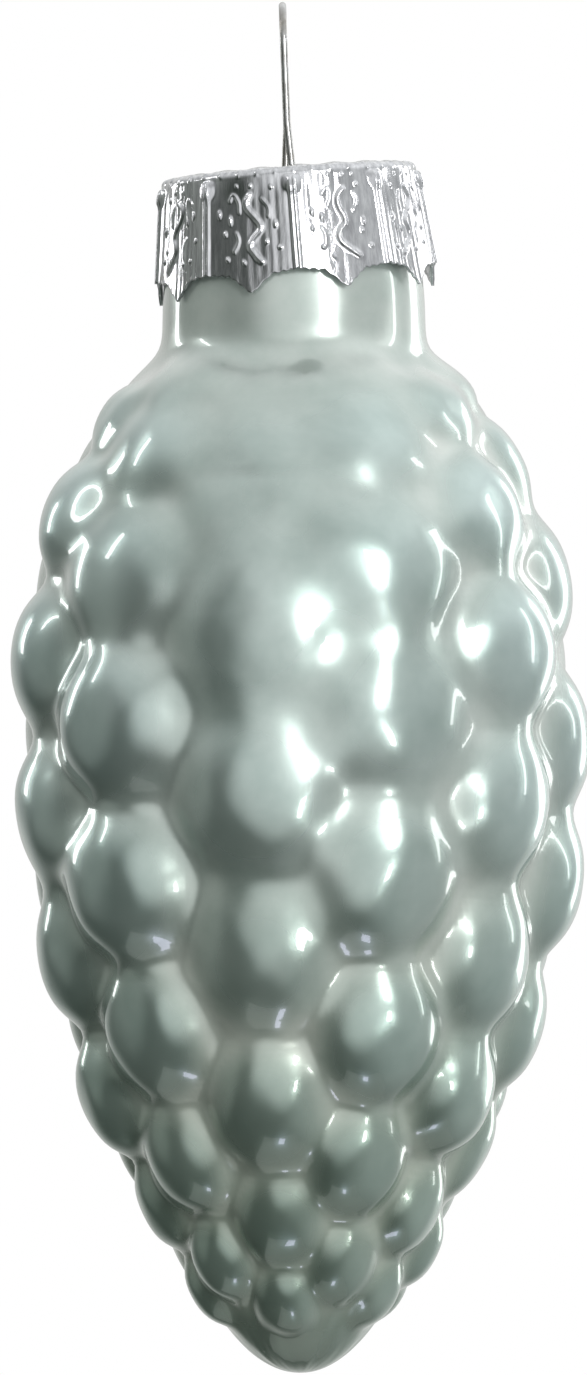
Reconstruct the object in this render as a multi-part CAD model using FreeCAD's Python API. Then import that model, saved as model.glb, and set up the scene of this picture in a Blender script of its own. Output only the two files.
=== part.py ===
import FreeCAD, Part
import math
import os

# Pine cone ornament that hangs from a wire loop: a hollow blown glass cone with rounded scales,
# a stamped sheet metal cap over its neck, and a sprung wire hanger through the cap.
# Lengths are in millimetres. The finished part has +Z up, and its origin is the inside of the
# loop's crown, where the thread or hook bears. The front of the ornament faces -Y.

# Glass cone, from the rim of its neck down to its tip. The neck stands clear inside the cap: its
# rim is inset from the cap's flat top, and its foot is clear of the cap's hem.
RIM_INSET = 0.6
NECK_CLEARANCE = 0.37
NECK_HEIGHT = 11.8
NECK_STRAIGHT_SHARE = 0.7
BODY_RADIUS = 21.2
BODY_LENGTH = 83.4
GLASS_WALL = 1.0

# Outline of the body under its scales: depth as a share of BODY_LENGTH, then radius as a share of
# BODY_RADIUS. The points steer a smooth curve that ends round on the axis.
BODY_OUTLINE = [
    (0.020, 0.503),
    (0.060, 0.605),
    (0.115, 0.730),
    (0.205, 0.895),
    (0.320, 0.937),
    (0.440, 0.938),
    (0.550, 0.877),
    (0.660, 0.780),
    (0.760, 0.668),
    (0.850, 0.488),
    (0.925, 0.370),
    (0.985, 0.196),
]

# Scales of the cone: rounded bosses in rows, each row turned about half a scale from the one
# above. A row's scales are given by their bearings in degrees and by how full each one is blown.
ROWS_OF_SCALES = [
    [(22, 0.95), (85, 1.15), (142, 1.00), (202, 1.00), (254, 0.75), (316, 1.15)],
    [(-9, 0.85), (54, 1.10), (112, 1.00), (172, 1.00), (232, 0.95), (288, 1.20)],
]
FIRST_ROW_DEPTH = 16.8
LAST_ROW_RADIUS = 6.6

# Distance between rows and their sag at the cone's sides, as shares of the radius
TOP_PITCH_SHARE = 0.24
TIP_PITCH_SHARE = 0.40
PITCH_GROWTH_POWER = 0.6
SAG_SHARE = 0.11
SAG_WAVE_FACTOR = 5.5

# Size, height and roundness of a scale, and how softly scales meet in their valleys
SPREAD_FACTOR = 1.05
STEEPNESS_FACTOR = 0.50
ROUNDNESS_SHARE = 0.5
VALLEY_BLEND_SHARE = 0.088
WANDER_SHARE = 0.015
UNEVEN_SHARE = 0.10

# Scales are shallower on the shoulder, towards the tip and on the soft side of the blow
SHOULDER_RELIEF_FACTOR = 0.7
SHOULDER_END_SHARE = 0.33
TIP_RELIEF_FACTOR = 0.75
TIP_START_SHARE = 0.65
SOFT_SIDE_DEG = -8.0
SOFT_SIDE_FACTOR = 0.62
SOFT_SIDE_POWER = 16
SOFT_SIDE_END_SHARE = 0.62

# Width of the flat facets that the glass is drawn in
OUTER_FACET = 1.9
INNER_FACET = 3.2

# Stamped cap, which sits a little askew on the neck
CAP_TOP_RADIUS = 10.2
CAP_HEM_RADIUS = 11.12
CAP_HEIGHT = 8.1
CAP_SHEET = 0.25
CAP_EDGE_ROUND = 0.7
CAP_TILT_DEG = 4.0
CAP_PIVOT_DEPTH = 5.6
CAP_SEAT_GAP = 0.05
PETALS = 9
FIRST_PETAL_DEG = 21.0
TOOTH_DROP = 1.8
TOOTH_WIDTH = 3.4
HEM_SLOPE = 0.35
SEAM_WIDTH = 0.7
SEAM_RISE = 0.15
EDGE_FLATS = 3

# Wire hanger
WIRE_DIAMETER = 0.6
LOOP_HEIGHT = 12.95
LOOP_WIDTH = 7.4
LOOP_LEAN_DEG = 1.8
CONE_OFFSET = 0.75
SPLIT_HEIGHT = 3.8
LEG_SPLIT = 0.55
LEG_STRAIGHT = 1.2
LEG_REACH = 10.6
WIRE_BEND_RADIUS = 1.6
HOLE_CLEARANCE = 0.12
WALL_CLEARANCE = 0.3

Vector = FreeCAD.Vector
AXIS = Vector(0, 0, 1)
WIRE_RADIUS = WIRE_DIAMETER / 2
LEG_Y = (LOOP_WIDTH - WIRE_DIAMETER) / 2
CAP_TOP_Z = -LOOP_HEIGHT
NECK_RIM_RADIUS = CAP_TOP_RADIUS - CAP_EDGE_ROUND - RIM_INSET
NECK_FOOT_RADIUS = CAP_HEM_RADIUS - CAP_SHEET - NECK_CLEARANCE


# Outline of the glass

def outline_controls():
    """Control points (radius, height) of the outline, from the rim of the neck to its tip."""
    points = [(NECK_RIM_RADIUS, 0.0)]
    for share in (NECK_STRAIGHT_SHARE / 2, NECK_STRAIGHT_SHARE, 1.0):
        widening = min(share / NECK_STRAIGHT_SHARE, 1.0)
        radius = NECK_RIM_RADIUS + (NECK_FOOT_RADIUS - NECK_RIM_RADIUS) * widening
        points.append((radius, -NECK_HEIGHT * share))
    for depth, radius in BODY_OUTLINE:
        points.append((radius * BODY_RADIUS, -NECK_HEIGHT - depth * BODY_LENGTH))
    tip = -NECK_HEIGHT - BODY_LENGTH
    points.append((0.0, (3 * tip - points[-1][1]) / 2))
    return points


def outline_at(controls, place):
    """Point and direction of the smooth outline at a place from 0 to len(controls) - 1."""
    first = (2 * controls[0][0] - controls[1][0], 2 * controls[0][1] - controls[1][1])
    last = (-controls[-2][0], controls[-2][1])
    padded = [first] + controls + [last]
    span = min(int(place), len(controls) - 2)
    t = place - span
    weights = (
        (1 - t) ** 3 / 6,
        (3 * t**3 - 6 * t**2 + 4) / 6,
        (-3 * t**3 + 3 * t**2 + 3 * t + 1) / 6,
        t**3 / 6,
    )
    slopes = (
        -((1 - t) ** 2) / 2,
        (3 * t**2 - 4 * t) / 2,
        (-3 * t**2 + 2 * t + 1) / 2,
        t**2 / 2,
    )
    near = padded[span : span + 4]
    point = [sum(w * p[axis] for w, p in zip(weights, near)) for axis in (0, 1)]
    slope = [sum(w * p[axis] for w, p in zip(slopes, near)) for axis in (0, 1)]
    return point, slope


class Outline:
    """The outline measured by its length from the rim of the neck."""

    STEPS_PER_SPAN = 60

    def __init__(self):
        self.controls = outline_controls()
        count = (len(self.controls) - 1) * self.STEPS_PER_SPAN
        self.places = [i / self.STEPS_PER_SPAN for i in range(count + 1)]
        self.lengths = [0.0]
        before = outline_at(self.controls, 0.0)[0]
        for place in self.places[1:]:
            here = outline_at(self.controls, place)[0]
            self.lengths.append(self.lengths[-1] + math.dist(here, before))
            before = here
        self.length = self.lengths[-1]

    def at(self, length):
        """(radius, height, outward normal's radius, outward normal's height) at a length."""
        length = min(max(length, 0.0), self.length)
        low, high = 0, len(self.lengths) - 1
        while high - low > 1:
            middle = (low + high) // 2
            if self.lengths[middle] <= length:
                low = middle
            else:
                high = middle
        share = (length - self.lengths[low]) / (self.lengths[high] - self.lengths[low])
        place = self.places[low] + share * (self.places[high] - self.places[low])
        (radius, height), (run, fall) = outline_at(self.controls, place)
        size = math.hypot(run, fall)
        return max(radius, 0.0), height, -fall / size, run / size

    def radius_at_depth(self, depth):
        """Radius of the outline at a depth below the rim, anywhere above its widest part."""
        low, high = 0.0, self.length / 2
        for _ in range(40):
            middle = (low + high) / 2
            if -self.at(middle)[1] < depth:
                low = middle
            else:
                high = middle
        return self.at(low)[0]


# Scales of the cone

def row_relief(share):
    """How full the scales are blown in a row that lies at a share of the cone's length."""
    shoulder = min(share / SHOULDER_END_SHARE, 1.0)
    tip = max(share - TIP_START_SHARE, 0.0) / (1 - TIP_START_SHARE)
    return SHOULDER_RELIEF_FACTOR + (1 - SHOULDER_RELIEF_FACTOR) * shoulder - (1 - TIP_RELIEF_FACTOR) * tip


def scale_relief(bearing, fullness, number, share):
    """How full one scale is blown: its column, a little chance, and the soft side of the blow."""
    facing = 0.5 + 0.5 * math.cos(bearing - math.radians(SOFT_SIDE_DEG))
    soft = (1 - SOFT_SIDE_FACTOR) * facing**SOFT_SIDE_POWER * max(0.0, 1 - share / SOFT_SIDE_END_SHARE)
    return fullness * (1 + UNEVEN_SHARE * math.sin(1.7 * number) - soft)


def place_scales(outline):
    """Every scale as (length from the rim, bearing, half length, half width, height)."""
    scales = []
    place = FIRST_ROW_DEPTH
    row = 0
    while place < outline.length / 2 or outline.at(place)[0] > LAST_ROW_RADIUS:
        columns = ROWS_OF_SCALES[row % len(ROWS_OF_SCALES)]
        radius = outline.at(place)[0]
        share = (place - FIRST_ROW_DEPTH) / (outline.length - FIRST_ROW_DEPTH)
        growth = (TIP_PITCH_SHARE - TOP_PITCH_SHARE) * share**PITCH_GROWTH_POWER
        pitch = radius * (TOP_PITCH_SHARE + growth)
        half_length = SPREAD_FACTOR * pitch
        half_width = SPREAD_FACTOR * radius * math.pi / len(columns) / math.sqrt(3)
        height = STEEPNESS_FACTOR * math.sqrt(half_length * half_width) * row_relief(share)
        for k, (degrees, fullness) in enumerate(columns):
            number = row * len(columns) + k
            bearing = math.radians(degrees)
            sag = SAG_SHARE * radius * math.sin(SAG_WAVE_FACTOR * share) * math.sin(bearing) ** 2
            along = WANDER_SHARE * radius * math.sin(2.4 * number + 1.0)
            around = WANDER_SHARE * math.sin(3.9 * number)
            uneven = scale_relief(bearing, fullness, number, share)
            scales.append((place + along + sag, bearing + around, half_length, half_width, height * uneven))
        place += pitch
        row += 1
    return scales


def relief(scales, radius, place, angle):
    """How far the surface stands out from the outline: the scales, blended at their valleys."""
    blend = VALLEY_BLEND_SHARE * max(radius, LAST_ROW_RADIUS)
    total = 1.0
    for centre, bearing, half_length, half_width, height in scales:
        along = (place - centre) / half_length
        if abs(along) > 1.6:
            continue
        turn = (angle - bearing + math.pi) % (2 * math.pi) - math.pi
        across = radius * turn / half_width
        off = along * along + across * across
        dome = height * (1 - off * (1 - ROUNDNESS_SHARE) - off * off * ROUNDNESS_SHARE)
        if dome > -6 * blend:
            total += math.exp(dome / blend)
    return math.log(total) * blend


# Glass

def glass_rings(outline, scales, inset, facet):
    """Rings of points on the scaled surface, or inset from it by the wall, down to the tip."""
    rows = round(outline.length / (facet * math.sqrt(3) / 2))
    rings = []
    for row in range(rows):
        length = outline.length * row / rows
        radius, height, out, up = outline.at(length)
        count = max(6, round(2 * math.pi * radius / facet))
        ring = []
        for k in range(count):
            angle = 2 * math.pi * (k + row % 2 / 2) / count
            stand = relief(scales, radius, length, angle) - inset
            reach = radius + out * stand
            ring.append(Vector(reach * math.sin(angle), -reach * math.cos(angle), height + up * stand))
        rings.append(ring)
    tip_height = outline.at(outline.length)[1] - relief(scales, 0.0, outline.length, 0.0) + inset
    rings.append([Vector(0, 0, tip_height)])
    return rings


def stitch(upper, lower):
    """Triangles that join two rings of point numbers, each going once round, or a ring and a tip."""
    upper_steps = len(upper)
    lower_steps = len(lower) if len(lower) > 1 else 0
    triangles = []
    i = j = 0
    while i < upper_steps or j < lower_steps:
        a, b = upper[i % upper_steps], lower[j % len(lower)]
        if j >= lower_steps or (i < upper_steps and (i + 1) * lower_steps <= (j + 1) * upper_steps):
            i += 1
            triangles.append((a, b, upper[i % upper_steps]))
        else:
            j += 1
            triangles.append((a, b, lower[j % lower_steps]))
    return triangles


def glass_body(outline):
    """The blown glass: scaled outside, matching inside, and the cut rim between them."""
    scales = place_scales(outline)
    outer = glass_rings(outline, scales, 0.0, OUTER_FACET)
    inner = glass_rings(outline, scales, GLASS_WALL, INNER_FACET)
    points = []
    numbered = []
    for rings in (outer, inner):
        numbered.append([])
        for ring in rings:
            numbered[-1].append(list(range(len(points), len(points) + len(ring))))
            points += ring
    pairs = [(numbered[1][0], numbered[0][0])]
    pairs += zip(numbered[0], numbered[0][1:])
    triangles = [facet for upper, lower in pairs for facet in stitch(upper, lower)]
    for upper, lower in zip(numbered[1], numbered[1][1:]):
        triangles += [(a, c, b) for a, b, c in stitch(upper, lower)]
    surface = Part.Shape()
    surface.makeShapeFromMesh((points, triangles), 1e-4, False)
    return Part.makeSolid(Part.Shell(surface.Faces))


# Cap

def skirt_flare():
    """How far the skirt widens for each millimetre down."""
    return (CAP_HEM_RADIUS - CAP_TOP_RADIUS) / (CAP_HEIGHT - CAP_EDGE_ROUND)


def cap_form(inset, bottom):
    """The cap as a solid, or its hollow when inset by the sheet: flat top, rolled edge, skirt."""
    rounding = CAP_EDGE_ROUND - inset
    centre = (CAP_TOP_RADIUS - CAP_EDGE_ROUND, -CAP_EDGE_ROUND)
    section = [(0.0, -inset)]
    for step in range(EDGE_FLATS + 1):
        angle = math.pi / 2 * (1 - step / EDGE_FLATS)
        section.append((centre[0] + rounding * math.cos(angle), centre[1] + rounding * math.sin(angle)))
    edge_radius, edge_height = section[-1]
    section.append((edge_radius + skirt_flare() * (edge_height - bottom), bottom))
    section.append((0.0, bottom))
    points = [Vector(radius, 0, height) for radius, height in section + section[:1]]
    return Part.Face(Part.makePolygon(points)).revolve(Vector(), AXIS, 360)


def hem_cutter(bearing):
    """What is cut away below one petal: nearly level by its seams, with a pointed tooth between."""
    half_petal = CAP_HEM_RADIUS * math.tan(math.pi / PETALS) * 1.1
    below = -CAP_HEIGHT - TOOTH_DROP - 2 * HEM_SLOPE
    corners = [
        (-half_petal, -CAP_HEIGHT),
        (-TOOTH_WIDTH / 2, -CAP_HEIGHT - HEM_SLOPE),
        (0, -CAP_HEIGHT - TOOTH_DROP),
        (TOOTH_WIDTH / 2, -CAP_HEIGHT - HEM_SLOPE),
        (half_petal, -CAP_HEIGHT),
        (half_petal, below),
        (-half_petal, below),
    ]
    near, far = CAP_HEM_RADIUS * 0.7, CAP_HEM_RADIUS * 1.4
    profile = Part.Face(Part.makePolygon([Vector(x, -near, z) for x, z in corners + corners[:1]]))
    cutter = profile.extrude(Vector(0, near - far, 0))
    cutter.rotate(Vector(), AXIS, bearing)
    return cutter


def seam_rib(bearing):
    """The raised seam between two petals, from under the rolled edge down to the hem."""
    half = SEAM_WIDTH / 2
    length = CAP_HEIGHT - CAP_EDGE_ROUND
    corners = [(-half, CAP_SHEET / 2), (-half, 0.0), (0.0, -SEAM_RISE), (half, 0.0), (half, CAP_SHEET / 2)]
    points = [Vector(x, y - CAP_TOP_RADIUS, -CAP_EDGE_ROUND) for x, y in corners + corners[:1]]
    rib = Part.Face(Part.makePolygon(points)).extrude(Vector(0, -skirt_flare() * length, -length))
    rib.rotate(Vector(), AXIS, bearing)
    return rib


def rim_height():
    """Height of the neck's rim, on which the tipped cap bears at its low side."""
    tilt = math.radians(CAP_TILT_DEG)
    arm = CAP_PIVOT_DEPTH - CAP_SHEET
    low_side = (arm * math.sin(tilt) - NECK_RIM_RADIUS) / math.cos(tilt)
    underside = low_side * math.sin(tilt) + arm * math.cos(tilt) - CAP_PIVOT_DEPTH
    return CAP_TOP_Z + underside - CAP_SEAT_GAP


def cap():
    """The stamped cap: thin sheet with nine petals, raised seams and two holes for the wire."""
    bottom = -CAP_HEIGHT - TOOTH_DROP - HEM_SLOPE
    bearings = [FIRST_PETAL_DEG + 360 * k / PETALS for k in range(PETALS)]
    body = cap_form(0.0, bottom).fuse([seam_rib(bearing + 180 / PETALS) for bearing in bearings])
    body = body.cut(cap_form(CAP_SHEET, bottom))
    body = body.cut([hem_cutter(bearing) for bearing in bearings])
    body.rotate(Vector(0, 0, -CAP_PIVOT_DEPTH), Vector(0, -1, 0), CAP_TILT_DEG)
    body.translate(Vector(CONE_OFFSET, 0, CAP_TOP_Z))
    holes = []
    for side in (-1, 1):
        x, y = leg_place(side)
        start = Vector(x, y, CAP_TOP_Z - CAP_HEIGHT / 2)
        holes.append(Part.makeCylinder(WIRE_RADIUS + HOLE_CLEARANCE, CAP_HEIGHT, start))
    return body.cut(holes).Solids[0]


# Hanger

def lean_x(height):
    """Sideways place of the leaning loop at a height under its crown."""
    return -height * math.tan(math.radians(LOOP_LEAN_DEG))


def leg_place(side):
    """Where one leg of the hanger passes down through the cap: the front one is -1."""
    return lean_x(CAP_TOP_Z) - side * LEG_SPLIT / 2, side * LEG_Y


def rounded_path(points, radius):
    """Straight runs between points, joined by tangent arcs."""
    edges = []
    start = points[0]
    for before, corner, after in zip(points, points[1:], points[2:]):
        back = (before - corner).normalize()
        ahead = (after - corner).normalize()
        half = back.getAngle(ahead) / 2
        enter = corner + back * (radius / math.tan(half))
        leave = corner + ahead * (radius / math.tan(half))
        middle = corner + (back + ahead).normalize() * (radius / math.sin(half) - radius)
        edges.append(Part.makeLine(start, enter))
        edges.append(Part.Arc(enter, middle, leave).toShape())
        start = leave
    edges.append(Part.makeLine(start, points[-1]))
    return edges


def leg_edges(side, crown_end, outline):
    """One leg, from the crown's end down through the cap to the wall of the neck."""
    hole_x, y = leg_place(side)
    split_z = CAP_TOP_Z + SPLIT_HEIGHT
    under_cap = CAP_TOP_Z - CAP_SHEET - LEG_STRAIGHT
    drift = (hole_x - lean_x(split_z)) * (split_z - under_cap) / SPLIT_HEIGHT
    bend_x = lean_x(split_z) + drift
    wall = outline.radius_at_depth(LEG_REACH) - GLASS_WALL
    reach = wall - WALL_CLEARANCE - WIRE_RADIUS
    points = [
        crown_end,
        Vector(lean_x(split_z), y, split_z),
        Vector(bend_x, y, under_cap),
        Vector(bend_x, side * reach, rim_height() - LEG_REACH),
    ]
    return rounded_path(points, WIRE_BEND_RADIUS)


def hanger(outline):
    """The sprung wire: a loop over the cap whose legs spread against the inside of the neck."""
    lean = math.radians(LOOP_LEAN_DEG)
    up = Vector(-math.sin(lean), 0, math.cos(lean))
    centre = up * (WIRE_RADIUS - LEG_Y)
    ends = [centre + Vector(0, side * LEG_Y, 0) for side in (-1, 1)]
    edges = leg_edges(-1, ends[0], outline) + leg_edges(1, ends[1], outline)
    edges.append(Part.Arc(ends[0], centre + up * LEG_Y, ends[1]).toShape())
    path = Part.Wire(Part.__sortEdges__(edges))
    first = path.OrderedEdges[0]
    start = path.OrderedVertexes[0].Point
    direction = first.tangentAt(first.FirstParameter)
    section = Part.Face(Part.Wire(Part.makeCircle(WIRE_RADIUS, start, direction)))
    return path.makePipe(section)


def build():
    """Make the three pieces and write each one as a file of its own."""
    outline = Outline()
    glass = glass_body(outline)
    glass.translate(Vector(CONE_OFFSET, 0, rim_height()))
    pieces = {"glass_body": glass, "cap": cap(), "hanger": hanger(outline)}
    os.makedirs("parts", exist_ok=True)
    for name, shape in pieces.items():
        shape.exportStep(f"parts/{name}.step")
        print(name, shape.isValid(), round(shape.Volume, 1), shape.BoundBox)
    return pieces


build()
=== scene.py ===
import math

import bpy
import numpy as np
from mathutils import Matrix, Vector, geometry


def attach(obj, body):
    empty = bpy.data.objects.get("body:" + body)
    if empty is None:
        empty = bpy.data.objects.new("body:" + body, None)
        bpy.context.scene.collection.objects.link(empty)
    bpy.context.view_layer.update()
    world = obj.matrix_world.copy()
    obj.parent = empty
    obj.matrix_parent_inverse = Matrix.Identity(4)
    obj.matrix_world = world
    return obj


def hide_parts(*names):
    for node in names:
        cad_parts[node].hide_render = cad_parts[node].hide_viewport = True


# Pine cone ornament: a blown glass cone with a pearly coat, a stamped foil cap and a wire hanger.
# Shapes are in millimetres and are turned into metres when a mesh is made. Lamps, floor and
# camera distance are in metres. Bearings run from 0 at the camera's side.

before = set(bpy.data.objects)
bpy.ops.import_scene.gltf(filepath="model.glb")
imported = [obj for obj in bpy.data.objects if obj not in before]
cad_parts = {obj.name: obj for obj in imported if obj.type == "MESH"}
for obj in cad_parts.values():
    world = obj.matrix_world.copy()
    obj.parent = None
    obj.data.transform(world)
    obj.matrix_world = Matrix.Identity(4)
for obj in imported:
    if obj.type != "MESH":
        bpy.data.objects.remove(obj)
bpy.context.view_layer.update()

MM = 0.001

# Glass cone, with the numbers that the solid has
NECK_RIM_RADIUS = 8.9
NECK_FOOT_RADIUS = 10.5
NECK_HEIGHT = 11.8
NECK_STRAIGHT_SHARE = 0.7
BODY_RADIUS = 21.2
BODY_LENGTH = 83.4
GLASS_WALL = 1.0
BODY_OUTLINE = [
    (0.020, 0.503),
    (0.060, 0.605),
    (0.115, 0.730),
    (0.205, 0.895),
    (0.320, 0.937),
    (0.440, 0.938),
    (0.550, 0.877),
    (0.660, 0.780),
    (0.760, 0.668),
    (0.850, 0.488),
    (0.925, 0.370),
    (0.985, 0.196),
]
ROWS_OF_SCALES = [
    [(22, 0.95), (85, 1.15), (142, 1.00), (202, 1.00), (254, 0.75), (316, 1.15)],
    [(-9, 0.85), (54, 1.10), (112, 1.00), (172, 1.00), (232, 0.95), (288, 1.20)],
]
SCALES_PER_ROW = 6
FIRST_ROW_DEPTH = 16.8
LAST_ROW_RADIUS = 6.6
TOP_PITCH_SHARE = 0.24
TIP_PITCH_SHARE = 0.40
PITCH_GROWTH_POWER = 0.6
SAG_SHARE = 0.11
SAG_WAVE_FACTOR = 5.5
SPREAD_FACTOR = 1.05
STEEPNESS_FACTOR = 0.50
ROUNDNESS_SHARE = 0.5
WANDER_SHARE = 0.015
UNEVEN_SHARE = 0.10
ALONG_PHASE = 2.4
AROUND_PHASE = 3.9
HEIGHT_PHASE = 1.7
SHOULDER_RELIEF_FACTOR = 0.7
SHOULDER_END_SHARE = 0.33
TIP_RELIEF_FACTOR = 0.75
TIP_START_SHARE = 0.65
SOFT_SIDE_DEG = -8.0
SOFT_SIDE_FACTOR = 0.62
SOFT_SIDE_POWER = 16
SOFT_SIDE_END_SHARE = 0.62
VALLEY_BLEND_SHARE = 0.088
SCALE_REACH = 1.6

# What the fine glass mesh adds to the solid's shape. Depths run along the outline from the rim.
OUTER_STEP = 0.52
INNER_STEP = 1.1
OUTLINE_STEPS = 60
RELIEF_FADE = (NECK_HEIGHT - 0.5, NECK_HEIGHT + 7.5)
CRISP_DEPTHS = (44.0, 62.0)
CRISP_POWER = 4
CRISP_NARROWING = 0.2
VALLEY_DEPTH = 0.09
CREST_PERCENTILE = 92
SMOOTHING_REACH = 8.0
RIPPLE_FADE = (NECK_HEIGHT, NECK_HEIGHT + 9.0)
RIPPLE_FULL_RADIUS = 12.0
RIPPLES = [
    (5, 0.21, 0.0, 0.060),
    (-7, 0.33, 1.3, 0.050),
    (11, -0.47, 2.1, 0.040),
    (-13, 0.62, 4.0, 0.034),
    (17, 0.35, 0.7, 0.026),
    (-23, -0.81, 5.1, 0.018),
    (29, 0.93, 2.9, 0.012),
    (-31, 1.30, 1.9, 0.008),
]

# Tone of the coat, from 0 in a valley to 1 on a crest, and the heights under the rim between
# which it turns to an even tone at the front, the neck and the tip. At the tip this is one of the
# coat's darkest tones, a painted shade.
TONE_PERCENTILES = (4, 97)
TONE_LEAST_RANGE = 0.5
TONE_MOST = 1.2
FRONT_TONE, FRONT_SHARE, FRONT_POWER, FRONT_HEIGHTS = 0.45, 0.75, 6, (-72.0, -50.0)
NECK_TONE, NECK_HEIGHTS = 0.15, (-21.0, -14.0)
TIP_SHADE_TONE, TIP_HEIGHTS = 0.45, (-86.0, -93.0)
TIP_POINT_SHADE_TONE = 0.3

# Cap, with the numbers that the solid has
CAP_TOP_RADIUS = 10.2
CAP_HEM_RADIUS = 11.12
CAP_HEIGHT = 8.1
CAP_SHEET = 0.25
CAP_EDGE_ROUND = 0.7
CAP_TILT_DEG = 4.0
CAP_PIVOT_DEPTH = 5.6
CAP_SEAT_GAP = 0.05
PETALS = 9
FIRST_PETAL_DEG = 21.0
TOOTH_DROP = 1.8
TOOTH_WIDTH = 3.4
HEM_SLOPE = 0.35

# Hanger, where it passes through the cap
WIRE_DIAMETER = 0.6
LOOP_HEIGHT = 12.95
LOOP_WIDTH = 7.4
LOOP_LEAN_DEG = 1.8
LEG_SPLIT = 0.55
HOLE_CLEARANCE = 0.12
HOLE_SIDES = 24
CONE_OFFSET = 0.75
CAP_TOP_Z = -LOOP_HEIGHT
LEG_Y = (LOOP_WIDTH - WIRE_DIAMETER) / 2
HOLE_RADIUS = WIRE_DIAMETER / 2 + HOLE_CLEARANCE

# Fine mesh of the cap: points round it, and rows on the top, the edge and the skirt
CAP_COLUMNS = 720
DISC_RADIUS = 5.0
OUTER_TOP_ROWS, INNER_TOP_ROWS = 22, 3
EDGE_ROWS = 8
OUTER_SKIRT_ROWS, INNER_SKIRT_ROWS = 77, 8

# Petals are nearly flat between their seams: a flatness of 0 gives a round skirt, 1 flat petals
PETAL_FLATNESS = 0.5
PETAL_MIDDLE = 0.62
PETAL_ONSET = (0.0, 0.25)
HEM_REACH = 1.1

# Stamped top and edge
TOP_RAYS, TOP_RAY_RISE, TOP_RAY_RADII = 18, 0.07, (6.0, 8.0)
TOP_RINGS = [(8.7, 0.22, 0.10), (5.6, 0.20, 0.08)]
BEADS, BEAD_RISE, BEAD_POWER = 41, 0.10, 6
HEM_RAGS, HEM_RAG_RISE, HEM_RAG_ONSET = 97, 0.06, (0.9, 1.0)

# Stamped skirt: two ribs with a bulb at each seam, then a vein, tendrils and drops on each petal.
# Points run across from -1 to 1 and down from 0 at the top edge to 1 at the hem. Drops also have
# a radius in millimetres and a stretch downwards. Flutes are fine waves round the skirt.
RIB_RISE, RIB_OFFSET, RIB_WIDTH, RIB_START = 0.17, 0.17, 0.10, (0.4, 1.2)
BULB_RISE, BULB_DEPTH, BULB_SQUASH, BULB_RADIUS = 0.28, 1.35, 0.8, 0.62
VEIN = [
    (0.05, 0.26), (-0.10, 0.34), (-0.02, 0.44), (0.14, 0.52), (0.20, 0.60), (0.04, 0.68),
    (0.00, 0.76), (0.16, 0.84), (0.34, 0.92),
]
VEIN_WIDTH, VEIN_RISE, VEIN_SWAY = 0.17, 0.22, 0.09
TENDRILS = [
    [(-0.44, 0.30), (-0.30, 0.22), (-0.22, 0.32), (-0.28, 0.42)],
    [(0.30, 0.30), (0.42, 0.38), (0.36, 0.48)],
    [(-0.36, 0.62), (-0.26, 0.70), (-0.32, 0.80)],
]
TENDRIL_WIDTH, TENDRIL_RISE = 0.09, 0.10
DROPS = [
    (-0.62, 0.44, 0.12, 2.6), (-0.50, 0.84, 0.13, 1.2), (-0.60, 0.64, 0.11, 1.8),
    (-0.38, 0.50, 0.11, 3.2), (0.10, 0.14, 0.11, 1.0), (0.48, 0.22, 0.12, 1.4),
    (0.60, 0.56, 0.12, 2.6), (0.44, 0.70, 0.10, 2.0), (0.62, 0.82, 0.15, 1.0),
    (-0.16, 0.90, 0.12, 1.3), (-0.20, 0.14, 0.09, 1.0), (0.34, 0.10, 0.08, 1.0),
]
DROP_RISE, DROP_SHIFT, DROP_LIFT = 0.17, 0.22, 0.25
FLUTES = [(0.010, 97, 3, 7), (0.016, 53, 2, 11)]

# Camera, fitted to the photo: its size and middle in pixels, millimetres for each pixel, the
# column of pixels that the cone's axis is on and the height of the first row of pixels
PHOTO_HEIGHT = 1375
PHOTO_MIDDLE = (293.5, 687.5)
PHOTO_SCALE = 0.08
CONE_AXIS_COLUMN = 296.2
FIRST_ROW_Z = 0.76
ROLL_DEG = 0.36
SENSOR = 36.0
CAMERA_DISTANCE = 0.9

# Floor: seen as nearly white, and a dull grey in the ornament's reflections
FLOOR_HALF = 1.0
FLOOR_Z = -2.2
FLOOR_COLOUR = (0.36, 0.36, 0.35, 1)
FLOOR_GLOW_SHARE = 0.95

# Light of the room: axis of the direction, from where to where on it the light grows, and its
# colour. The last one is full everywhere.
ROOM_LIGHTS = [
    ("X", -0.1, 1.0, (0.44, 0.45, 0.46)),
    ("Z", 0.05, 0.95, (0.78, 0.79, 0.80)),
    ("Y", 0.40, 0.99, (0.55, 0.55, 0.54)),
    ("X", -0.80, -1.0, (0.20, 0.21, 0.20)),
    ("Y", -0.72, -1.0, (0.84, 0.85, 0.86)),
    ("Y", -2.0, -1.9, (0.056, 0.066, 0.058)),
]

# Lamps: bearing and elevation in degrees, distance, width and height in metres, watts, colour
LAMP_TARGET = (0.00075, 0, -0.058)
WHITE = (1, 1, 1)
LAMPS = [
    ("key_softbox", 28, 17, 0.6, 0.10, 0.25, 1.1, WHITE),
    ("key_low", 30, -13, 0.6, 0.05, 0.10, 0.20, WHITE),
    ("left_panel", -124, 14, 0.9, 0.10, 0.30, 0.52, WHITE),
    ("left_strip", -93, 34, 0.9, 0.06, 0.34, 0.38, WHITE),
    ("right_panel", 132, 6, 0.9, 0.22, 0.7, 1.3, WHITE),
    ("right_strip", 99, 14, 0.9, 0.06, 0.55, 0.42, WHITE),
    ("low_card", 14, -70, 0.5, 0.06, 0.06, 0.035, (0.78, 0.76, 1.0)),
]


# Meshes

def smoothstep(low, high, value):
    t = np.clip((value - low) / (high - low), 0.0, 1.0)
    return t * t * (3 - 2 * t)


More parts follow.
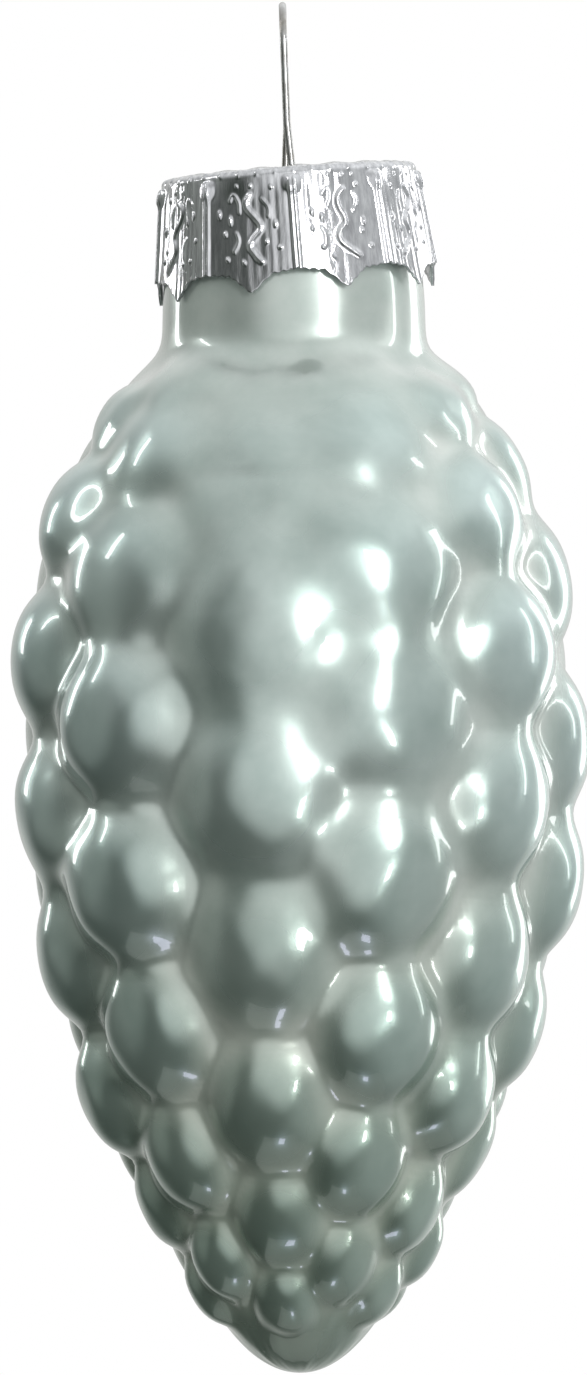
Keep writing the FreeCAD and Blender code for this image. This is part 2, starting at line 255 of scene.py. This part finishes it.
def make_object(name, points, faces, attributes=None):
    mesh = bpy.data.meshes.new(name)
    mesh.from_pydata([tuple(p) for p in np.asarray(points) * MM], [], faces)
    mesh.validate()
    for key, values in (attributes or {}).items():
        layer = mesh.attributes.new(key, "FLOAT", "POINT")
        layer.data.foreach_set("value", np.asarray(values, dtype=np.float32))
    mesh.polygons.foreach_set("use_smooth", [True] * len(mesh.polygons))
    mesh.update()
    piece = bpy.data.objects.new(name, mesh)
    bpy.context.scene.collection.objects.link(piece)
    return piece


def ring_faces(start, rows, count, flip=False):
    """Quads between rows of points that each close to a ring."""
    faces = []
    for row in range(rows - 1):
        a = start + row * count
        b = a + count
        for k in range(count):
            n = (k + 1) % count
            face = (a + k, b + k, b + n, a + n)
            faces.append(face[::-1] if flip else face)
    return faces


def tip_faces(ring, count, tip, flip=False):
    """Triangles from the last ring of points to the tip."""
    faces = [(ring + k, tip, ring + (k + 1) % count) for k in range(count)]
    return [face[::-1] for face in faces] if flip else faces


def rim_faces(count, inner_start, inner_count):
    """Triangles that close the rim between the first rings of the outer and the inner side."""
    faces = []
    i = j = 0
    while i < count or j < inner_count:
        a, b = i % count, inner_start + j % inner_count
        if j >= inner_count or (i < count and (i + 1) * inner_count <= (j + 1) * count):
            i += 1
            faces.append((a, i % count, b))
        else:
            j += 1
            faces.append((a, inner_start + j % inner_count, b))
    return faces


# Glass cone

def outline_controls():
    """Radius and height of the points that steer the outline, with one beyond each end."""
    controls = [(NECK_RIM_RADIUS, 0.0)]
    for share in (NECK_STRAIGHT_SHARE / 2, NECK_STRAIGHT_SHARE, 1.0):
        widening = (NECK_FOOT_RADIUS - NECK_RIM_RADIUS) * min(1.0, share / NECK_STRAIGHT_SHARE)
        controls.append((NECK_RIM_RADIUS + widening, -NECK_HEIGHT * share))
    for depth, radius in BODY_OUTLINE:
        controls.append((radius * BODY_RADIUS, -NECK_HEIGHT - depth * BODY_LENGTH))
    tip = -NECK_HEIGHT - BODY_LENGTH
    controls.append((0.0, (3 * tip - controls[-1][1]) / 2))
    first = (2 * controls[0][0] - controls[1][0], 2 * controls[0][1] - controls[1][1])
    last = (-controls[-2][0], controls[-2][1])
    return np.array([first] + controls + [last])


def outline_curve():
    """Dense table of the outline: length, then radius, height and outward normal."""
    controls = outline_controls()
    spans = len(controls) - 3
    rows = []
    for k in range(spans * OUTLINE_STEPS + 1):
        place = k / OUTLINE_STEPS
        span = min(int(place), spans - 1)
        t = place - span
        weights = np.array([
            (1 - t) ** 3 / 6,
            (3 * t**3 - 6 * t**2 + 4) / 6,
            (-3 * t**3 + 3 * t**2 + 3 * t + 1) / 6,
            t**3 / 6,
        ])
        slopes = np.array([
            -((1 - t) ** 2) / 2,
            (3 * t**2 - 4 * t) / 2,
            (-3 * t**2 + 2 * t + 1) / 2,
            t**2 / 2,
        ])
        point = weights @ controls[span : span + 4]
        slope = slopes @ controls[span : span + 4]
        slope = slope / np.hypot(*slope)
        rows.append((max(point[0], 0.0), point[1], -slope[1], slope[0]))
    table = np.array(rows)
    steps = np.hypot(np.diff(table[:, 0]), np.diff(table[:, 1]))
    length = np.concatenate([[0.0], np.cumsum(steps)])
    return length, table


def outline_at(curve, length):
    return [np.interp(length, curve[0], curve[1][:, k]) for k in range(4)]


def place_scales(curve):
    """Depth, bearing, half length, half width and height of every scale."""
    total = curve[0][-1]
    turn = 2 * math.pi / SCALES_PER_ROW
    scales = []
    place = FIRST_ROW_DEPTH
    row = 0
    while place < total / 2 or outline_at(curve, place)[0] > LAST_ROW_RADIUS:
        radius = outline_at(curve, place)[0]
        share = (place - FIRST_ROW_DEPTH) / (total - FIRST_ROW_DEPTH)
        growth = (TIP_PITCH_SHARE - TOP_PITCH_SHARE) * share**PITCH_GROWTH_POWER
        pitch = radius * (TOP_PITCH_SHARE + growth)
        half_length = SPREAD_FACTOR * pitch
        half_width = SPREAD_FACTOR * radius * turn / 2 / math.sqrt(3)
        height = STEEPNESS_FACTOR * math.sqrt(half_length * half_width)
        height *= np.interp(
            share,
            [0.0, SHOULDER_END_SHARE, TIP_START_SHARE, 1.0],
            [SHOULDER_RELIEF_FACTOR, 1.0, 1.0, TIP_RELIEF_FACTOR],
        )
        for k, (bearing, fullness) in enumerate(ROWS_OF_SCALES[row % 2]):
            number = row * SCALES_PER_ROW + k
            bearing = math.radians(bearing)
            sag = SAG_SHARE * radius * math.sin(SAG_WAVE_FACTOR * share) * math.sin(bearing) ** 2
            along = WANDER_SHARE * radius * math.sin(ALONG_PHASE * number + 1.0)
            around = WANDER_SHARE * math.sin(AROUND_PHASE * number)
            facing = 0.5 + 0.5 * math.cos(bearing - math.radians(SOFT_SIDE_DEG))
            soft = (1 - SOFT_SIDE_FACTOR) * facing**SOFT_SIDE_POWER
            soft *= max(0.0, 1 - share / SOFT_SIDE_END_SHARE)
            uneven = fullness * (1 + UNEVEN_SHARE * math.sin(HEIGHT_PHASE * number) - soft)
            scales.append((
                place + along + sag, bearing + around, half_length, half_width, height * uneven
            ))
        place += pitch
        row += 1
    return scales


def smooth_rows(values, step):
    """Evens out a list of values, one for each row of points."""
    half = round(SMOOTHING_REACH / step)
    window = np.hanning(2 * half + 1) / np.hanning(2 * half + 1).sum()
    return np.convolve(np.pad(values, half, mode="edge"), window, mode="valid")


def crispness(place, angles):
    """How crisply the scales stand out: softly on the upper front, crisply elsewhere."""
    facing = 0.5 + 0.5 * np.cos(angles - math.radians(SOFT_SIDE_DEG))
    return 1 - facing**CRISP_POWER * (1 - smoothstep(*CRISP_DEPTHS, place))


def relief(scales, radius, place, angles):
    """How far the scales stand out along one ring, blended so that they meet in soft valleys."""
    total = np.ones_like(angles)
    blend = VALLEY_BLEND_SHARE * max(radius, LAST_ROW_RADIUS)
    blend = blend * (1 - CRISP_NARROWING * crispness(place, angles))
    for centre, bearing, half_length, half_width, height in scales:
        along = (place - centre) / half_length
        if abs(along) > SCALE_REACH:
            continue
        turn = (angles - bearing + math.pi) % (2 * math.pi) - math.pi
        across = radius * turn / half_width
        off = along * along + across * across
        dome = height * (1 - off * (1 - ROUNDNESS_SHARE) - off * off * ROUNDNESS_SHARE)
        total += np.where(dome > -6 * blend, np.exp(dome / blend), 0.0)
    return np.log(total) * blend


def ripples(radius, length, angles):
    """Slow uneven swells of the blown surface, up to a quarter of a millimetre together."""
    total = np.zeros_like(angles)
    for turns, run, phase, height in RIPPLES:
        total += height * np.sin(turns * angles + run * length + phase)
    return total * min(1.0, radius / RIPPLE_FULL_RADIUS) * smoothstep(*RIPPLE_FADE, length)


def glass_grid(curve, scales, inset, step):
    """Rows of points on one side of the glass, the relief at each point, and the tip."""
    rows = round(curve[0][-1] / step)
    count = round(2 * math.pi * BODY_RADIUS / step)
    angles = 2 * math.pi * np.arange(count) / count
    lengths = curve[0][-1] * np.arange(rows) / rows
    places = [outline_at(curve, length) for length in lengths]
    fade = smoothstep(*RELIEF_FADE, lengths)
    heights = np.array([
        relief(scales, place[0], length, angles) for length, place in zip(lengths, places)
    ]) * fade[:, None]
    crests = smooth_rows(np.percentile(heights, CREST_PERCENTILE, axis=1), step)
    points = []
    for row, (radius, height, out, up) in enumerate(places):
        stand = heights[row] - inset
        if inset == 0:
            deeper = VALLEY_DEPTH * crispness(lengths[row], angles) * fade[row]
            stand = stand - deeper * np.maximum(crests[row] - heights[row], 0.0)
            stand = stand + ripples(radius, lengths[row], angles)
        reach = radius + out * stand
        points.append(np.stack([
            reach * np.sin(angles),
            -reach * np.cos(angles),
            height + up * stand,
        ], axis=1))
    bump = relief(scales, 0.0, curve[0][-1], angles[:1])[0]
    tip = np.array([0.0, 0.0, outline_at(curve, curve[0][-1])[1] - bump + inset])
    return np.array(points), heights, tip


def coat_tone(points, heights):
    """Tone of the coat at each outer point, from valley to crest."""
    low, high = (
        smooth_rows(np.percentile(heights, percentile, axis=1), OUTER_STEP)
        for percentile in TONE_PERCENTILES
    )
    tone = (heights - low[:, None]) / np.maximum(high - low, TONE_LEAST_RANGE)[:, None]
    count = points.shape[1]
    z = points[:, :, 2]
    bearing = 2 * math.pi * np.arange(count) / count - math.radians(SOFT_SIDE_DEG)
    front = (0.5 + 0.5 * np.cos(bearing)) ** FRONT_POWER * smoothstep(*FRONT_HEIGHTS, z)
    neck = smoothstep(*NECK_HEIGHTS, z)
    # Painted shade: near the tip the tone turns to one of the coat's darkest
    tip = smoothstep(*TIP_HEIGHTS, z)
    tone = tone * (1 - FRONT_SHARE * front) + FRONT_TONE * FRONT_SHARE * front
    tone = tone * (1 - neck) + NECK_TONE * neck
    return tone * (1 - tip) + TIP_SHADE_TONE * tip


def rim_height():
    """Height of the glass rim that leaves the tipped cap its seat gap."""
    tilt = math.radians(CAP_TILT_DEG)
    arm = CAP_PIVOT_DEPTH - CAP_SHEET
    low_side = (arm * math.sin(tilt) - NECK_RIM_RADIUS) / math.cos(tilt)
    underside = low_side * math.sin(tilt) + arm * math.cos(tilt) - CAP_PIVOT_DEPTH
    return CAP_TOP_Z + underside - CAP_SEAT_GAP


def make_glass():
    curve = outline_curve()
    scales = place_scales(curve)
    outer, heights, outer_tip = glass_grid(curve, scales, 0.0, OUTER_STEP)
    inner, _, inner_tip = glass_grid(curve, scales, GLASS_WALL, INNER_STEP)
    rows, count = outer.shape[:2]
    inner_rows, inner_count = inner.shape[:2]
    points = np.concatenate([
        outer.reshape(-1, 3), [outer_tip], inner.reshape(-1, 3), [inner_tip]
    ])
    tip = rows * count
    start = tip + 1
    inner_tip_number = start + inner_rows * inner_count
    faces = ring_faces(0, rows, count)
    faces += tip_faces(tip - count, count, tip)
    faces += ring_faces(start, inner_rows, inner_count, flip=True)
    faces += tip_faces(inner_tip_number - inner_count, inner_count, inner_tip_number, flip=True)
    faces += rim_faces(count, start, inner_count)
    tone = np.concatenate([
        coat_tone(outer, heights).reshape(-1), [TIP_POINT_SHADE_TONE],
        np.zeros(inner_rows * inner_count + 1),
    ])
    points = points + np.array([CONE_OFFSET, 0, rim_height()])
    return make_object("glass_cone", points, faces, {"crest": np.clip(tone, 0.0, TONE_MOST)})


# Cap

def from_petal_middle(bearing_deg):
    """Degrees from the middle of the petal that a bearing lies on."""
    step = 360 / PETALS
    return (bearing_deg - FIRST_PETAL_DEG + step / 2) % step - step / 2


def hem_depth(bearing_deg):
    """Depth of the toothed hem under the top."""
    offset = abs(from_petal_middle(bearing_deg) * math.pi / 180 * CAP_HEM_RADIUS)
    half = CAP_HEM_RADIUS * math.tan(math.pi / PETALS) * HEM_REACH
    tooth = TOOTH_WIDTH / 2
    near = CAP_HEIGHT + TOOTH_DROP + (HEM_SLOPE - TOOTH_DROP) * offset / tooth
    far = CAP_HEIGHT + HEM_SLOPE - HEM_SLOPE * (offset - tooth) / (half - tooth)
    return np.where(offset < tooth, near, far)


def petal_flat(bearing_deg):
    """How far the skirt stands in or out so that each petal is nearly flat between its seams."""
    turn = np.radians(from_petal_middle(bearing_deg))
    middle = math.cos(math.pi / PETALS * PETAL_MIDDLE)
    return PETAL_FLATNESS * (CAP_HEM_RADIUS * (middle / np.cos(turn) - 1))


def rounded(path):
    """The same line of points with its corners cut twice."""
    for _ in range(2):
        cut = [path[0]]
        for (ax, ay), (bx, by) in zip(path, path[1:]):
            cut.append((ax * 0.75 + bx * 0.25, ay * 0.75 + by * 0.25))
            cut.append((ax * 0.25 + bx * 0.75, ay * 0.25 + by * 0.75))
        path = cut + [path[-1]]
    return path


def segment_distance(px, py, a, b):
    dx, dy = b[0] - a[0], b[1] - a[1]
    t = np.clip(((px - a[0]) * dx + (py - a[1]) * dy) / (dx * dx + dy * dy), 0, 1)
    return np.hypot(px - a[0] - t * dx, py - a[1] - t * dy)


def emboss(bearing_deg, down):
    """Height of the stamped pattern on the skirt at bearings and at depths down it.

    Every second petal is mirrored, and the phases of sway, shift and lift change from petal to
    petal, so no two are alike.
    """
    step = 360 / PETALS
    place = (bearing_deg - FIRST_PETAL_DEG + step / 2) / step
    number = np.floor(place)
    wide = math.pi * CAP_TOP_RADIUS / PETALS
    across = (place - number - 0.5) * 2 * wide
    seam = wide - np.abs(across)
    total = RIB_RISE * np.exp(-(((seam - RIB_OFFSET) / RIB_WIDTH) ** 2))
    total = total * smoothstep(*RIB_START, down)
    bulb = np.hypot(seam, (down - BULB_DEPTH) * BULB_SQUASH) / BULB_RADIUS
    total += BULB_RISE * np.exp(-(bulb**4))
    across = across * np.where(number % 2 == 0, 1.0, -1.0)
    lines = [(VEIN_WIDTH, VEIN_RISE, VEIN)]
    lines += [(TENDRIL_WIDTH, TENDRIL_RISE, tendril) for tendril in TENDRILS]
    for width, rise, path in lines:
        near = np.full_like(total, 9.0)
        path = rounded(path)
        for (ax, ay), (bx, by) in zip(path, path[1:]):
            sway = VEIN_SWAY * np.sin(number * 2.1 + ay * 7)
            near = np.minimum(near, segment_distance(
                across - sway * wide, down,
                (ax * wide, ay * CAP_HEIGHT), (bx * wide, by * CAP_HEIGHT),
            ))
        total = np.maximum(total, rise * np.exp(-((near / width) ** 2)))
    for k, (x, y, radius, stretch) in enumerate(DROPS):
        shift = DROP_SHIFT * np.sin(number * 3.7 + k * 1.9)
        lift = DROP_LIFT * np.cos(number * 1.3 + k * 2.2)
        away = np.hypot(across - x * wide - shift, (down - y * CAP_HEIGHT - lift) / stretch)
        total = np.maximum(total, DROP_RISE * np.exp(-((away / radius) ** 4)))
    turn = np.radians(bearing_deg)
    flutes = sum(
        rise * np.sin(waves * turn + sway * np.sin(slow * turn))
        for rise, waves, sway, slow in FLUTES
    )
    return total + flutes * (0.6 + 0.4 * np.sin(5 * turn + 0.5 * down))


def wire_holes(side):
    """Middle of one hole for the wire, in the cap's own frame before it is tipped."""
    lean = math.tan(math.radians(LOOP_LEAN_DEG))
    x = -CAP_TOP_Z * lean - side * LEG_SPLIT / 2
    tilt = math.radians(CAP_TILT_DEG)
    return (x - CONE_OFFSET + CAP_PIVOT_DEPTH * math.sin(tilt)) / math.cos(tilt), side * LEG_Y


def cap_disc(edge_points, edge_start, next_number, z, upward):
    """Flat middle of the top with the two holes: new points, faces and the rims of the holes."""
    flat = [Vector((x, y)) for x, y in edge_points]
    count = len(flat)
    edges = [(k, (k + 1) % count) for k in range(count)]
    rims = []
    for side in (-1, 1):
        x, y = wire_holes(side)
        first = len(flat)
        for k in range(HOLE_SIDES):
            angle = 2 * math.pi * k / HOLE_SIDES
            reach_x, reach_y = HOLE_RADIUS * math.cos(angle), HOLE_RADIUS * math.sin(angle)
            flat.append(Vector((x + reach_x, y + reach_y)))
        edges += [(first + k, first + (k + 1) % HOLE_SIDES) for k in range(HOLE_SIDES)]
        rims.append([next_number + first - count + k for k in range(HOLE_SIDES)])
    vertices, _, triangles, sources, _, _ = geometry.delaunay_2d_cdt(flat, edges, [], 5, 1e-6)
    given = [origin[0] for origin in sources]
    faces = []
    for triangle in triangles:
        owners = {(given[k] - count) // HOLE_SIDES for k in triangle}
        if len(owners) == 1 and min(owners) >= 0:
            continue  # inside a hole
        face = tuple(
            edge_start + given[k] if given[k] < count else next_number + given[k] - count
            for k in triangle
        )
        a, b, c = (vertices[k] for k in triangle)
        turn = (b - a).cross(c - a)
        faces.append(face if (turn > 0) == upward else face[::-1])
    return [(p.x, p.y, z) for p in flat[count:]], faces, rims


def cap_side(inset, top_rows, skirt_rows):
    """Rows of points on one side of the foil, from the flat middle of the top to the hem."""
    stamped = inset == 0
    bearings = 360 * np.arange(CAP_COLUMNS) / CAP_COLUMNS
    angle = np.radians(bearings)
    hem = hem_depth(bearings)
    flare = (CAP_HEM_RADIUS - CAP_TOP_RADIUS) / (CAP_HEIGHT - CAP_EDGE_ROUND)
    inside = CAP_TOP_RADIUS - CAP_EDGE_ROUND
    rows = []
    for radius in np.linspace(DISC_RADIUS, inside, top_rows):
        bump = np.zeros(CAP_COLUMNS)
        if stamped:
            bump = TOP_RAY_RISE * np.sin(angle * TOP_RAYS) * smoothstep(*TOP_RAY_RADII, radius)
            for place, width, rise in TOP_RINGS:
                bump = bump + rise * np.exp(-(((radius - place) / width) ** 2))
        rows.append((np.full(CAP_COLUMNS, radius), -inset + bump))
    beads = np.maximum(np.sin(angle * BEADS + 0.6 * np.sin(angle * 5)), 0) ** BEAD_POWER
    for k in range(1, EDGE_ROWS + 1):
        turn = math.pi / 2 * (1 - k / EDGE_ROWS)
        bead = BEAD_RISE * beads * math.sin(math.pi * k / EDGE_ROWS)
        reach = CAP_EDGE_ROUND - inset + bead
        rows.append((inside + reach * math.cos(turn), -CAP_EDGE_ROUND + reach * math.sin(turn)))
    rags = HEM_RAG_RISE * np.sin(angle * HEM_RAGS + 2 * np.sin(angle * 13))
    for share in np.linspace(0, 1, skirt_rows + 1)[1:]:
        down = CAP_EDGE_ROUND + (hem - CAP_EDGE_ROUND) * share
        radius = CAP_TOP_RADIUS - inset + flare * (down - CAP_EDGE_ROUND)
        radius = radius + petal_flat(bearings) * smoothstep(*PETAL_ONSET, share)
        if stamped:
            radius = radius + emboss(bearings, down)
        rows.append((radius, -down + rags * smoothstep(*HEM_RAG_ONSET, share)))
    return np.array([
        np.stack([radius * np.sin(angle), -radius * np.cos(angle), z], axis=1)
        for radius, z in rows
    ])


def make_cap():
    count = CAP_COLUMNS
    outer = cap_side(0.0, OUTER_TOP_ROWS, OUTER_SKIRT_ROWS)
    inner = cap_side(CAP_SHEET, INNER_TOP_ROWS, INNER_SKIRT_ROWS)
    rows, inner_rows = outer.shape[0], inner.shape[0]
    start = rows * count
    faces = ring_faces(0, rows, count) + ring_faces(start, inner_rows, count, flip=True)
    a, b = (rows - 1) * count, start + (inner_rows - 1) * count
    faces += [(a + k, b + k, b + (k + 1) % count, a + (k + 1) % count) for k in range(count)]
    number = start + inner_rows * count
    points = [outer.reshape(-1, 3), inner.reshape(-1, 3)]
    rims = []
    for ring, first, z, upward in ((outer[0], 0, 0.0, True), (inner[0], start, -CAP_SHEET, False)):
        added, new_faces, new_rims = cap_disc(ring[:, :2], first, number, z, upward)
        points.append(np.array(added))
        number += len(added)
        faces += new_faces
        rims.append(new_rims)
    for upper, lower in zip(*rims):
        for k in range(HOLE_SIDES):
            n = (k + 1) % HOLE_SIDES
            faces.append((upper[k], upper[n], lower[n], lower[k]))
    points = np.concatenate(points)
    turn = Matrix.Rotation(math.radians(CAP_TILT_DEG), 3, Vector((0, -1, 0)))
    turned = (points - np.array([0, 0, -CAP_PIVOT_DEPTH])) @ np.array(turn).T
    points = turned + np.array([CONE_OFFSET, 0, CAP_TOP_Z - CAP_PIVOT_DEPTH])
    return make_object("cap_foil", points, faces)


# Materials

def new_material(name):
    material = bpy.data.materials.new(name)
    material.use_nodes = True
    tree = material.node_tree
    tree.nodes.clear()
    output = tree.nodes.new("ShaderNodeOutputMaterial")
    shader = tree.nodes.new("ShaderNodeBsdfPrincipled")
    tree.links.new(shader.outputs[0], output.inputs[0])
    return material, tree, shader


def node(tree, kind, values=None, **settings):
    made = tree.nodes.new(kind)
    for key, value in settings.items():
        setattr(made, key, value)
    for key, value in (values or {}).items():
        made.inputs[key].default_value = value
    return made


def noise(tree, place, scale, detail, roughness):
    made = node(
        tree, "ShaderNodeTexNoise", {"Scale": scale, "Detail": detail, "Roughness": roughness}
    )
    tree.links.new(place, made.inputs["Vector"])
    return made.outputs[0]


def ramp(tree, source, stops):
    made = tree.nodes.new("ShaderNodeValToRGB")
    elements = made.color_ramp.elements
    while len(elements) > 1:
        elements.remove(elements[-1])
    elements[0].position, elements[0].color = stops[0][0], (*stops[0][1], 1)
    for position, colour in stops[1:]:
        element = elements.new(position)
        element.color = (*colour, 1)
    tree.links.new(source, made.inputs[0])
    return made.outputs[0]


def multiplied(tree, first, second):
    """Product of two colours."""
    made = node(tree, "ShaderNodeMix", data_type="RGBA", blend_type="MULTIPLY")
    made.inputs[0].default_value = 1.0
    tree.links.new(first, made.inputs[6])
    tree.links.new(second, made.inputs[7])
    return made.outputs[2]


def scaled(tree, source, factor):
    made = node(tree, "ShaderNodeMath", {1: factor}, operation="MULTIPLY")
    tree.links.new(source, made.inputs[0])
    return made.outputs[0]


def add_bump(tree, shader, source, strength, distance):
    bump = node(tree, "ShaderNodeBump", {"Strength": strength, "Distance": distance})
    tree.links.new(source, bump.inputs["Height"])
    tree.links.new(bump.outputs[0], shader.inputs["Normal"])


def pearl_material():
    """Pearly coat, paler in the valleys, with painted shade that darkens it towards the tip, under
    smooth clear glass.
    """
    material, tree, shader = new_material("pearl_glass")
    place = node(tree, "ShaderNodeTexCoord").outputs["Object"]
    crest = node(tree, "ShaderNodeAttribute", attribute_name="crest").outputs["Fac"]
    paint = ramp(tree, crest, [
        (0.0, (0.61, 0.65, 0.615)),
        (0.14, (0.55, 0.61, 0.575)),
        (0.30, (0.47, 0.545, 0.51)),
        (0.60, (0.45, 0.545, 0.52)),
        (1.0, (0.49, 0.60, 0.585)),
    ])
    cloud = ramp(tree, noise(tree, place, 140.0, 5.0, 0.6), [
        (0.33, (0.82, 0.86, 0.84)), (0.65, (1.07, 1.06, 1.05))
    ])
    paint = multiplied(tree, paint, cloud)
    # Painted shade: the coat's colour darkens to a dull olive over the lower part, towards the tip
    split = tree.nodes.new("ShaderNodeSeparateXYZ")
    tree.links.new(place, split.inputs[0])
    painted_tip_shade = ramp(tree, scaled(tree, split.outputs["Z"], -1 / 0.1), [
        (0.60, (1.0, 1.0, 1.0)), (0.95, (0.72, 0.76, 0.68))
    ])
    paint = multiplied(tree, paint, painted_tip_shade)
    tree.links.new(paint, shader.inputs["Base Color"])
    metal = node(tree, "ShaderNodeMapRange", {
        "From Min": 0.0, "From Max": 0.5, "To Min": 0.35, "To Max": 0.74
    })
    tree.links.new(crest, metal.inputs["Value"])
    tree.links.new(metal.outputs["Result"], shader.inputs["Metallic"])
    add_bump(tree, shader, noise(tree, place, 150.0, 1.0, 0.4), 0.45, 0.0007)
    shader.inputs["Roughness"].default_value = 0.27
    shader.inputs["Coat Weight"].default_value = 1.0
    shader.inputs["Coat Roughness"].default_value = 0.015
    shader.inputs["Coat IOR"].default_value = 1.8
    return material


def foil_material():
    """Bright foil with fine streaks down it."""
    material, tree, shader = new_material("stamped_foil")
    place = node(tree, "ShaderNodeTexCoord").outputs["Object"]
    stretch = node(tree, "ShaderNodeMapping", {"Scale": (1.0, 1.0, 0.12)})
    tree.links.new(place, stretch.inputs["Vector"])
    grain = noise(tree, stretch.outputs[0], 2600.0, 4.0, 0.6)
    colour = ramp(tree, grain, [(0.3, (0.50, 0.50, 0.52)), (0.7, (0.82, 0.82, 0.84))])
    tree.links.new(colour, shader.inputs["Base Color"])
    add_bump(tree, shader, grain, 0.25, 0.00006)
    shader.inputs["Metallic"].default_value = 1.0
    shader.inputs["Roughness"].default_value = 0.12
    return material


def wire_material():
    """Steel wire with brownish stains."""
    material, tree, shader = new_material("spring_wire")
    place = node(tree, "ShaderNodeTexCoord").outputs["Object"]
    grain = noise(tree, place, 320.0, 4.0, 0.6)
    colour = ramp(tree, grain, [(0.35, (0.30, 0.28, 0.25)), (0.62, (0.60, 0.60, 0.60))])
    tree.links.new(colour, shader.inputs["Base Color"])
    shader.inputs["Metallic"].default_value = 1.0
    shader.inputs["Roughness"].default_value = 0.22
    return material


# Stage

def camera_switch(tree, lit, seen, output, share=1.0):
    """Joins two shaders: the camera sees the second, by a share, and all else meets the first."""
    factor = tree.nodes.new("ShaderNodeLightPath").outputs["Is Camera Ray"]
    if share < 1.0:
        factor = scaled(tree, factor, share)
    blend = tree.nodes.new("ShaderNodeMixShader")
    tree.links.new(factor, blend.inputs[0])
    tree.links.new(lit.outputs[0], blend.inputs[1])
    tree.links.new(seen.outputs[0], blend.inputs[2])
    tree.links.new(blend.outputs[0], output.inputs[0])


def make_stage():
    mesh = bpy.data.meshes.new("floor")
    half = FLOOR_HALF
    corners = [(-half, -half), (half, -half), (half, half), (-half, half)]
    mesh.from_pydata([(x, y, FLOOR_Z) for x, y in corners], [], [(0, 1, 2, 3)])
    floor = bpy.data.objects.new("floor", mesh)
    bpy.context.scene.collection.objects.link(floor)
    material = bpy.data.materials.new("floor_paper")
    material.use_nodes = True
    tree = material.node_tree
    tree.nodes.clear()
    output = tree.nodes.new("ShaderNodeOutputMaterial")
    diffuse = node(tree, "ShaderNodeBsdfDiffuse", {"Color": FLOOR_COLOUR})
    glow = node(tree, "ShaderNodeEmission", {"Color": (1, 1, 1, 1), "Strength": 1.0})
    camera_switch(tree, diffuse, glow, output, FLOOR_GLOW_SHARE)
    mesh.materials.append(material)


def room_light(tree, direction, axis, low, high, colour):
    """Light that grows along one axis of the direction."""
    reach = node(tree, "ShaderNodeMapRange", {"From Min": low, "From Max": high})
    reach.interpolation_type = "SMOOTHSTEP"
    tree.links.new(direction.outputs[axis], reach.inputs["Value"])
    made = node(tree, "ShaderNodeVectorMath", operation="SCALE")
    made.inputs[0].default_value = colour
    tree.links.new(reach.outputs["Result"], made.inputs["Scale"])
    return made.outputs[0]


def make_world():
    """Studio surround: soft light from above, behind, both sides and the camera's side."""
    world = bpy.data.worlds.new("studio")
    world.use_nodes = True
    bpy.context.scene.world = world
    tree = world.node_tree
    tree.nodes.clear()
    output = tree.nodes.new("ShaderNodeOutputWorld")
    place = tree.nodes.new("ShaderNodeTexCoord")
    direction = tree.nodes.new("ShaderNodeSeparateXYZ")
    tree.links.new(place.outputs["Generated"], direction.inputs[0])
    lights = [room_light(tree, direction, *values) for values in ROOM_LIGHTS]
    room = lights[0]
    for light in lights[1:]:
        added = node(tree, "ShaderNodeVectorMath", operation="ADD")
        tree.links.new(room, added.inputs[0])
        tree.links.new(light, added.inputs[1])
        room = added.outputs[0]
    surround = node(tree, "ShaderNodeBackground", {"Strength": 1.0})
    tree.links.new(room, surround.inputs["Color"])
    white = node(tree, "ShaderNodeBackground", {"Color": (1, 1, 1, 1), "Strength": 1.0})
    camera_switch(tree, surround, white, output)


def add_lamp(name, bearing, elevation, distance, width, height, power, colour):
    """Area lamp that faces the middle of the ornament."""
    lamp = bpy.data.lights.new(name, "AREA")
    lamp.shape = "RECTANGLE"
    lamp.size, lamp.size_y = width, height
    lamp.energy = power
    lamp.color = colour
    holder = bpy.data.objects.new(name, lamp)
    a, e = math.radians(bearing), math.radians(elevation)
    away = Vector((math.sin(a) * math.cos(e), -math.cos(a) * math.cos(e), math.sin(e)))
    holder.location = Vector(LAMP_TARGET) + away * distance
    holder.rotation_mode = "QUATERNION"
    holder.rotation_quaternion = away.to_track_quat("Z", "Y")
    holder.visible_camera = False
    bpy.context.scene.collection.objects.link(holder)


def make_camera():
    camera = bpy.data.cameras.new("camera")
    camera.sensor_width = SENSOR
    camera.lens = SENSOR * CAMERA_DISTANCE / (PHOTO_HEIGHT * PHOTO_SCALE * MM)
    camera.clip_start, camera.clip_end = 0.05, 50
    holder = bpy.data.objects.new("camera", camera)
    x = CONE_OFFSET + (PHOTO_MIDDLE[0] - CONE_AXIS_COLUMN) * PHOTO_SCALE
    z = FIRST_ROW_Z - PHOTO_SCALE * PHOTO_MIDDLE[1]
    holder.location = (x * MM, -CAMERA_DISTANCE, z * MM)
    holder.rotation_mode = "XYZ"
    holder.rotation_euler = (math.radians(90), math.radians(ROLL_DEG), 0)
    bpy.context.scene.collection.objects.link(holder)
    bpy.context.scene.camera = holder


make_camera()
glass = make_glass()
glass.data.materials.append(pearl_material())
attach(glass, "root")
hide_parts("glass_body")

cap = make_cap()
cap.data.materials.append(foil_material())
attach(cap, "root")
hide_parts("cap")

wire = wire_material()
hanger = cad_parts["hanger"]
for slot in hanger.material_slots:
    slot.material = wire

make_stage()
make_world()
for lamp in LAMPS:
    add_lamp(*lamp)

bpy.context.scene.view_settings.view_transform = "Standard"
